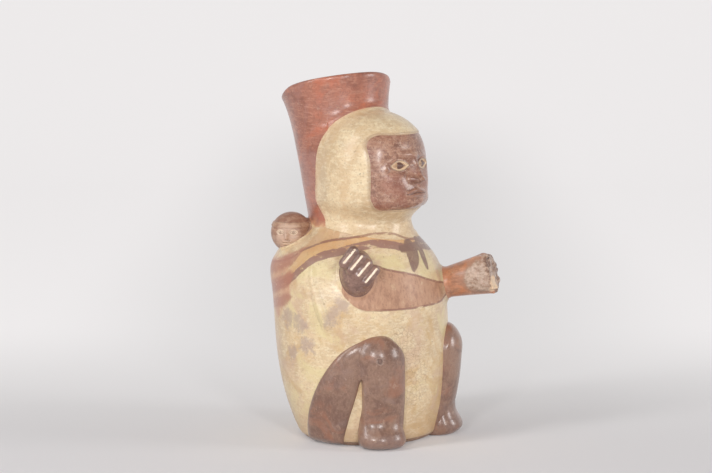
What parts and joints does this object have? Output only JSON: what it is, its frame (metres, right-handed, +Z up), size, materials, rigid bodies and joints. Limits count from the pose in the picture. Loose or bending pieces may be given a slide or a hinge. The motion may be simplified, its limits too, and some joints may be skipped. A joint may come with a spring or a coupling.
{
  "type": "ceramic effigy jar",
  "caption": "Seated hooded figure jar in slip-painted earthenware, with a hollow body and a flared spout that leans back behind the head.",
  "frame": {"origin": "middle of the flat underside of the base", "axes": "+Z up, the figure faces -Y and its right side is -X"},
  "size_m": [0.1132, 0.1291, 0.2199],
  "materials": {
    "cream_slip": "burnished cream slip with fine crackle and stains",
    "red_slip": "burnished red slip",
    "brown_slip": "burnished purple-brown slip, rubbed on the high places",
    "orange_slip": "worn orange slip with a rough broken end",
    "bare_clay": "bare fired clay, matte and stained by use"
  },
  "bodies": {
    "root": {"base_slab": "bare_clay", "body_front_half": "cream_slip", "body_back_half": "cream_slip", "neck_spout": "red_slip", "head_hood": "cream_slip", "face_panel": "brown_slip", "right_hand": "brown_slip", "left_forearm": "orange_slip", "child_head": "brown_slip", "right_leg": "brown_slip", "right_foot": "brown_slip", "left_leg": "brown_slip", "left_foot": "brown_slip"}
  },
  "joints": []
}
